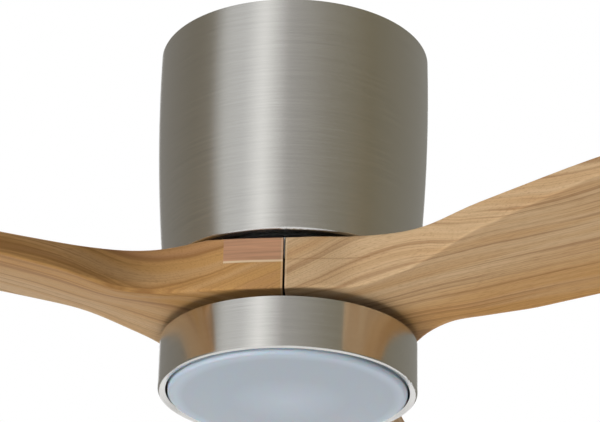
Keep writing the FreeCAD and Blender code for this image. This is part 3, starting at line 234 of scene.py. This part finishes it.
def root_block(s, look, local, colour):
    """The glued block beside the trailing seam, the pale strip under it, a painted highlight along the seams' edges
    and painted shade inside the seams.

    A seam's plane is turned from the blade by half a blade's share of the circle, so a point's distance from it is
    x sin 60 - y cos 60 on the trailing side and x sin 60 + y cos 60 on the leading side.
    """
    p = s.node("SeparateXYZ", {"Vector": local}).outputs
    half = math.pi / 3
    run = s.math("MULTIPLY", p[0], math.sin(half))
    from_trail = s.math("MULTIPLY_ADD", p[1], -math.cos(half), run)
    from_lead = s.math("MULTIPLY_ADD", p[1], math.cos(half), run)
    outward = s.math("MULTIPLY_ADD", p[1], math.sin(half), s.math("MULTIPLY", p[0], math.cos(half)))
    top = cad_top("blade_1")
    depth = s.math("SUBTRACT", top, p[2])

    beside = s.math("MULTIPLY", s.math("LESS_THAN", from_trail, look.block_length),
                    s.math("GREATER_THAN", outward, 0.03))
    block = s.math("MULTIPLY", beside, s.math("LESS_THAN", depth, look.block_height))
    strip_place = s.math("SUBTRACT", depth, look.block_height + 0.0008)
    strip = s.math("MULTIPLY", beside, s.math("LESS_THAN", s.math("ABSOLUTE", strip_place), 0.0008))
    layers = s.noise(s.stretch(local, (18.0, 18.0, 520.0)), 1.0, 3.0, 0.6)
    red = tuple(look.block)
    reddish = s.ramp(layers, (0.32, tuple(0.72 * c for c in red)), (0.66, red))
    colour = s.mix(block, colour, reddish)
    colour = s.mix(s.math("MULTIPLY", strip, 0.9), colour, (*look.strip, 1.0))

    facing = s.math("MULTIPLY", s.math("LESS_THAN", from_lead, look.facing_length),
                    s.math("MULTIPLY", s.math("LESS_THAN", depth, look.block_height),
                           s.math("GREATER_THAN", outward, 0.03)))
    slant = s.math("MULTIPLY_ADD", from_lead, 0.55, depth)
    slanted = s.noise(s.node("CombineXYZ", {"X": s.math("MULTIPLY", slant, 620.0)}).outputs[0], 1.0, 2.0)
    diagonal = s.ramp(slanted, (0.38, tuple(look.honey)), (0.56, tuple(look.pale)))
    colour = s.mix(s.math("MULTIPLY", facing, 0.65), colour, diagonal)
    glue = s.math("MULTIPLY", near(s, s.math("SUBTRACT", depth, look.block_height), 0.0009),
                  s.math("LESS_THAN", from_lead, 1.4 * look.block_length))
    broken = s.noise(s.stretch(local, (60.0, 60.0, 20.0)), 1.0, 2.0)
    glued = s.math("MULTIPLY", glue, s.math("GREATER_THAN", from_trail, look.block_length))
    colour = s.mix(s.math("MULTIPLY", glued, s.math("MULTIPLY", broken, 0.9)), colour, (*look.dark, 1.0))
    seam = s.math("MINIMUM", from_trail, from_lead)
    # Painted highlight: a light line beside each seam, where a rounded edge would catch the light.
    highlit = near(s, s.math("SUBTRACT", seam, 0.0016), 0.0009)
    colour = s.mix(s.math("MULTIPLY", highlit, 0.5), colour, (*look.strip, 1.0))
    # Painted shade: the faces inside each seam are near black, for the shaded gap between the blades.
    return s.mix(s.math("LESS_THAN", seam, 0.0008), colour, (0.03, 0.018, 0.01, 1.0))


def opal(look):
    s = Sheet("opal lens")
    place = object_coordinates(s)
    p = s.node("SeparateXYZ", {"Vector": place}).outputs
    radius = s.math("SQRT", s.math("ADD", s.math("MULTIPLY", p[0], p[0]), s.math("MULTIPLY", p[1], p[1])))
    # Painted light: the lens is painted lighter towards the middle, and a painted highlight lies on its rim; the
    # noise is its own mottle.
    mottle_and_glow = s.math("MULTIPLY_ADD", s.noise(place, 9.0, 2.0), 0.12, s.math("DIVIDE", radius, LENS_R))
    tint = tuple(look.lens)
    middle, highlit_rim = tuple(1.24 * c for c in tint), tuple(min(1.0, 1.22 * c) for c in tint)
    colour = s.ramp(mottle_and_glow, (0.05, middle), (0.55, tint), (0.93, tint), (1.02, highlit_rim))
    return s.shade(Base_Color=colour, Roughness=0.35, Subsurface_Weight=0.4, Subsurface_Scale=0.004,
                   Coat_Weight=0.15, Coat_Roughness=0.25)


def worked_metal(name, colour, roughness, scale=400.0):
    """Plain metal with a fine random tooth."""
    s = Sheet(name)
    tooth = s.noise(object_coordinates(s), scale, 2.0)
    shade = s.ramp(tooth, (0.3, tuple(0.85 * c for c in colour)), (0.7, colour))
    return s.shade(Base_Color=shade, Metallic=1.0, Roughness=s.math("MULTIPLY_ADD", tooth, 0.15, roughness),
                   Normal=s.bump(tooth, 0.05, 0.0002))


def moulded(name, colour, roughness, scale=500.0, specular=0.5):
    """Moulded plastic, paint or rubber with a faint tooth."""
    s = Sheet(name)
    tooth = s.noise(object_coordinates(s), scale, 2.0)
    shade = s.ramp(tooth, (0.3, tuple(0.88 * c for c in colour)), (0.7, colour))
    return s.shade(Base_Color=shade, Roughness=s.math("MULTIPLY_ADD", tooth, 0.12, roughness),
                   Specular_IOR_Level=specular,
                   Normal=s.bump(tooth, 0.06, 0.0002))


# ---------------------------------------------------------------- settings
class FanLook(PropertyGroup):
    nickel: FloatVectorProperty(name="Nickel", description="Colour of the drum and the light's ring",
                                subtype="COLOR", default=(0.74, 0.73, 0.71), min=0.0, max=1.0)
    honey: FloatVectorProperty(name="Honey wood", description="Main colour of the wood",
                               subtype="COLOR", default=(0.60, 0.33, 0.115), min=0.0, max=1.0)
    tan: FloatVectorProperty(name="Tan wood", description="Colour of the lighter bands",
                             subtype="COLOR", default=(0.64, 0.40, 0.20), min=0.0, max=1.0)
    pink: FloatVectorProperty(name="Pink wood", description="Colour of the redder bands",
                              subtype="COLOR", default=(0.52, 0.275, 0.135), min=0.0, max=1.0)
    # The light line beside each seam is a painted highlight.
    pale: FloatVectorProperty(name="Sapwood", description="Colour of the palest bands and of worn edges",
                              subtype="COLOR", default=(0.70, 0.49, 0.28), min=0.0, max=1.0)
    dark: FloatVectorProperty(name="Late wood", description="Colour of the growth lines",
                              subtype="COLOR", default=(0.29, 0.12, 0.035), min=0.0, max=1.0)
    block: FloatVectorProperty(name="Root block", description="Colour of the glued block at each root",
                               subtype="COLOR", default=(0.64, 0.345, 0.20), min=0.0, max=1.0)
    strip: FloatVectorProperty(name="Pale strip", description="Colour of the strip under the block",
                               subtype="COLOR", default=(0.80, 0.61, 0.40), min=0.0, max=1.0)
    facing_length: FloatProperty(name="Facing length", description="Length of the slanted-grain piece",
                                 unit="LENGTH", default=0.027)
    block_length: FloatProperty(name="Block length", description="Length of the glued block from the seam",
                                unit="LENGTH", default=0.0445)
    block_height: FloatProperty(name="Block height", description="Height of the glued block from the top",
                                unit="LENGTH", default=0.0175)
    lens: FloatVectorProperty(name="Lens", description="Colour of the opal lens, unlit",
                              subtype="COLOR", default=(0.475, 0.55, 0.635), min=0.0, max=1.0)


class FanStudio(PropertyGroup):
    camera: FloatVectorProperty(name="Camera", description="Place of the camera", subtype="XYZ", unit="LENGTH",
                                default=(0.0862, -1.6778, -0.9104))
    lens: FloatProperty(name="Focal length", description="Focal length of the camera, in millimetres",
                        default=143.53)
    pitch: FloatProperty(name="Pitch", description="How far the camera looks up", subtype="ANGLE", default=0.4356)
    yaw: FloatProperty(name="Yaw", description="How far the camera looks towards +X", subtype="ANGLE",
                       default=-0.0475)
    roll: FloatProperty(name="Roll", description="How far the camera tips", subtype="ANGLE", default=0.0212)
    drop: FloatProperty(name="Floor", description="How far the floor lies below the fan, clear of every view",
                        unit="LENGTH", default=16.0)
    key: FloatProperty(name="Key lamp", description="Power of the softbox in front on the left", default=38.0)
    under: FloatProperty(name="Under lamp", description="Power of the softbox below", default=17.0)
    fill: FloatProperty(name="Fill lamp", description="Power of the softbox on the right", default=5.0)
    back: FloatProperty(name="Back lamp", description="Power of the softbox behind", default=34.0)
    top: FloatProperty(name="Top lamp", description="Power of the softbox above", default=30.0)
    room: FloatProperty(name="Room light", description="Strength of the even light from all round", default=0.12)


# ---------------------------------------------------------------- operators
class FAN_OT_metal(Operator):
    """Finish the drum and the light's ring in brushed nickel"""
    bl_idname = "fan.metal"
    bl_label = "Brushed nickel"

    def execute(self, context):
        look = context.scene.fan_look
        finish(["housing_shell"], brushed_nickel(look, "brushed nickel", 0.20))
        finish(["light_ring"], brushed_nickel(look, "brushed nickel of the ring", 0.16, 0.0962))
        return {"FINISHED"}


class FAN_OT_blades(Operator):
    """Finish the three blades in wood, each with its grain along its own axis"""
    bl_idname = "fan.blades"
    bl_label = "Wooden blades"

    def execute(self, context):
        for i, (angle, shift) in enumerate(zip(BLADE_ANGLES, BLADE_SHIFTS), 1):
            wood = blade_wood(context.scene.fan_look, f"wood of blade {i}", math.radians(angle), shift)
            finish([f"blade_{i}"], wood)
        return {"FINISHED"}


class FAN_OT_lens(Operator):
    """Finish the lens in opal plastic"""
    bl_idname = "fan.lens"
    bl_label = "Opal lens"

    def execute(self, context):
        finish(["lens"], opal(context.scene.fan_look))
        return {"FINISHED"}


class FAN_OT_inside(Operator):
    """Finish the plates, the motor, the driver, the leads and the screws"""
    bl_idname = "fan.inside"
    bl_label = "Motor and fittings"

    def execute(self, context):
        zinc = worked_metal("zinc plate", (0.62, 0.63, 0.64), 0.35)
        finish(["mounting_plate", "support_posts", "motor_support_plate", "driver_bracket",
                "shaft_spacers", "shaft_nuts", "light_pan"], zinc)
        finish(["earth_screw", "shell_screws", "upper_post_screws", "lower_post_screws", "terminal_screws",
                "motor_shaft", "ring_screws", "tray_screws", "board_screws", "cover_screws", "seam_pins"],
               worked_metal("bright steel", (0.60, 0.60, 0.61), 0.25))
        finish(["hub_plate", "clamp_plate"], moulded("black paint", (0.012, 0.012, 0.012), 0.7, specular=0.08))
        finish(["hub_screws", "blade_bolts"], worked_metal("black oxide", (0.05, 0.05, 0.055), 0.4))
        finish(["rotor_bottom_cover", "rotor_top_cover"], worked_metal("cast aluminium", (0.68, 0.69, 0.7), 0.42))
        finish(["led_tray"], worked_metal("pressed aluminium", (0.75, 0.76, 0.77), 0.3))
        finish(["back_iron"], worked_metal("back iron", (0.28, 0.28, 0.29), 0.45))
        finish(["rotor_magnets"], worked_metal("magnet", (0.20, 0.20, 0.21), 0.5))
        finish(["stator_core"], worked_metal("laminations", (0.36, 0.36, 0.38), 0.45))
        finish(["stator_windings"], worked_metal("copper wire", (0.66, 0.27, 0.12), 0.3))
        finish(["bearing_inner_races", "bearing_outer_races", "bearing_balls"],
               worked_metal("ground steel", (0.68, 0.68, 0.70), 0.12))
        finish(["bearing_cages"], moulded("cage nylon", (0.58, 0.52, 0.35), 0.5))
        finish(["terminal_block", "led_driver"], moulded("white plastic", (0.78, 0.78, 0.77), 0.45))
        finish(["driver_case", "driver_lid"], moulded("black plastic", (0.03, 0.03, 0.033), 0.5))
        finish(["driver_board"], moulded("green board", (0.02, 0.16, 0.06), 0.35))
        finish(["driver_components"], moulded("components", (0.05, 0.05, 0.06), 0.4))
        finish(["led_board"], moulded("white board", (0.82, 0.82, 0.80), 0.4))
        finish(["led_chips"], moulded("phosphor", (0.85, 0.66, 0.12), 0.3))
        finish(["mains_lead", "motor_lead", "light_lead"], moulded("grey sheath", (0.35, 0.36, 0.38), 0.5))
        return {"FINISHED"}


class FAN_OT_stage(Operator):
    """Build the camera, the lamps, the floor and the white surround"""
    bl_idname = "fan.stage"
    bl_label = "Studio"

    def execute(self, context):
        scene = context.scene
        studio = scene.fan_studio
        scene.view_settings.view_transform = "Standard"
        self.camera(scene, studio)
        self.surround(scene, studio)
        self.floor(scene, studio)
        self.reflection_card(scene)
        target = Vector((0.0, 0.0, -0.22))
        self.lamp(scene, "key softbox", (-1.7, -1.5, -0.45), target, (1.6, 1.6), studio.key, (1.0, 1.0, 1.0))
        self.lamp(scene, "under softbox", (-0.25, -0.55, -2.2), target, (1.5, 1.5), studio.under, (1.0, 0.99, 0.98))
        self.lamp(scene, "fill softbox", (1.9, -1.3, -0.9), target, (1.2, 1.2), studio.fill, (1.0, 0.97, 0.93))
        self.lamp(scene, "back softbox", (0.9, 2.1, -0.35), target, (1.6, 1.6), studio.back, (1.0, 1.0, 1.0))
        self.lamp(scene, "top softbox", (0.0, 0.8, 1.8), target, (1.5, 1.5), studio.top, (1.0, 1.0, 1.0))
        return {"FINISHED"}

    def reflection_card(self, scene):
        """A curved card round the fan that only reflections see: warm and dim, with two softboxes on it."""
        start, end = math.radians(-162.0), math.radians(165.0)
        turn = np.linspace(start, end, 97) + CAMERA_SIDE
        low, high, r = -2.38, 4.5, 3.0
        ring = np.stack([r * np.cos(turn), r * np.sin(turn)], axis=1)
        vertices = np.concatenate([np.column_stack([ring, np.full(len(ring), z)]) for z in (low, high)])
        k = np.arange(len(ring) - 1)
        faces = np.stack([k, k + 1, k + 1 + len(ring), k + len(ring)], axis=1)
        mesh = bpy.data.meshes.new("reflection card")
        mesh.from_pydata(vertices.tolist(), [], faces.tolist())
        s = Sheet("lit card")
        facing = s.stretch(object_coordinates(s), (1.0, 1.0, 1.0), rotation=(0.0, 0.0, -CAMERA_SIDE))
        p = s.node("SeparateXYZ", {"Vector": facing}).outputs
        share = s.math("MULTIPLY_ADD", s.math("ARCTAN2", p[1], p[0]), 0.5 / math.pi, 0.5)
        light = s.ramp(share, *[((degrees + 180.0) / 360.0, colour) for degrees, colour in CARD])
        glow = s.node("Emission", {"Color": light, "Strength": 1.0})
        s.tree.links.new(glow.outputs[0], s.out.inputs["Surface"])
        mesh.materials.append(s.material)
        card = bpy.data.objects.new("reflection_card", mesh)
        card.visible_camera = card.visible_diffuse = card.visible_shadow = False
        card.visible_transmission = card.visible_volume_scatter = False
        scene.collection.objects.link(card)

    def camera(self, scene, studio):
        data = bpy.data.cameras.new("camera")
        data.lens = studio.lens
        data.sensor_width = 36.0
        data.clip_end = 100.0
        forward = Vector((math.sin(studio.yaw) * math.cos(studio.pitch),
                          math.cos(studio.yaw) * math.cos(studio.pitch), math.sin(studio.pitch)))
        level = Vector((math.cos(studio.yaw), -math.sin(studio.yaw), 0.0))
        above = level.cross(forward)
        right = math.cos(studio.roll) * level + math.sin(studio.roll) * above
        up = math.cos(studio.roll) * above - math.sin(studio.roll) * level
        camera = bpy.data.objects.new("camera", data)
        turn = Matrix((right, up, -forward)).transposed()
        camera.matrix_world = Matrix.Translation(Vector(studio.camera)) @ turn.to_4x4()
        scene.collection.objects.link(camera)
        scene.camera = camera

    def lamp(self, scene, name, place, target, size, power, colour):
        data = bpy.data.lights.new(name, "AREA")
        data.shape = "RECTANGLE"
        data.size, data.size_y = size
        data.energy = power
        data.color = colour
        lamp = bpy.data.objects.new(name, data)
        lamp.location = place
        lamp.rotation_euler = (target - Vector(place)).to_track_quat("-Z", "Y").to_euler()
        lamp.visible_glossy = lamp.visible_camera = False
        scene.collection.objects.link(lamp)

    def floor(self, scene, studio):
        mesh = bpy.data.meshes.new("floor")
        r, z = 90.0, -studio.drop
        mesh.from_pydata([(-r, -r, z), (r, -r, z), (r, r, z), (-r, r, z)], [], [(0, 1, 2, 3)])
        floor = bpy.data.objects.new("floor", mesh)
        s = Sheet("pale floor")
        mottle = s.noise(object_coordinates(s), 3.0, 2.0)
        colour = s.ramp(mottle, (0.3, (0.80, 0.80, 0.80)), (0.7, (0.83, 0.83, 0.83)))
        mesh.materials.append(s.shade(Base_Color=colour, Roughness=0.8, Emission_Color=colour,
                                      Emission_Strength=self.seen(s.tree)))
        scene.collection.objects.link(floor)

    def seen(self, tree):
        """1 for the rays that show the background: from the camera, off metal and through glass."""
        path = tree.nodes.new("ShaderNodeLightPath")
        largest = path.outputs["Is Camera Ray"]
        for ray in ("Is Glossy Ray", "Is Transmission Ray"):
            node = tree.nodes.new("ShaderNodeMath")
            node.operation = "MAXIMUM"
            tree.links.new(largest, node.inputs[0])
            tree.links.new(path.outputs[ray], node.inputs[1])
            largest = node.outputs[0]
        return largest

    def surround(self, scene, studio):
        world = bpy.data.worlds.new("surround")
        scene.world = world
        world.use_nodes = True
        tree = world.node_tree
        tree.nodes.clear()
        level = tree.nodes.new("ShaderNodeMapRange")
        level.inputs["To Min"].default_value = studio.room
        level.inputs["To Max"].default_value = 1.0
        tree.links.new(self.seen(tree), level.inputs["Value"])
        light = tree.nodes.new("ShaderNodeBackground")
        light.inputs["Color"].default_value = (1.0, 1.0, 1.0, 1.0)
        tree.links.new(level.outputs[0], light.inputs["Strength"])
        out = tree.nodes.new("ShaderNodeOutputWorld")
        tree.links.new(light.outputs[0], out.inputs["Surface"])


class FAN_PT_sidebar(Panel):
    """Lists the fan's finishes and the studio"""
    bl_label = "Ceiling fan"
    bl_idname = "FAN_PT_sidebar"
    bl_space_type = "VIEW_3D"
    bl_region_type = "UI"
    bl_category = "Fan"

    def draw(self, context):
        for group in (context.scene.fan_look, context.scene.fan_studio):
            for key in group.bl_rna.properties.keys():
                if key not in ("rna_type", "name"):
                    self.layout.prop(group, key)
        for step in STEPS:
            self.layout.operator(step.bl_idname)


STEPS = (FAN_OT_metal, FAN_OT_blades, FAN_OT_lens, FAN_OT_inside, FAN_OT_stage)
CLASSES = (FanLook, FanStudio) + STEPS + (FAN_PT_sidebar,)


def register():
    for cls in CLASSES:
        bpy.utils.register_class(cls)
    bpy.types.Scene.fan_look = PointerProperty(type=FanLook)
    bpy.types.Scene.fan_studio = PointerProperty(type=FanStudio)


def unregister():
    del bpy.types.Scene.fan_studio
    del bpy.types.Scene.fan_look
    for cls in reversed(CLASSES):
        bpy.utils.unregister_class(cls)


def main():
    register()
    for step in STEPS:
        getattr(bpy.ops.fan, step.bl_idname.split(".")[1])()


if __name__ == "__main__":
    main()
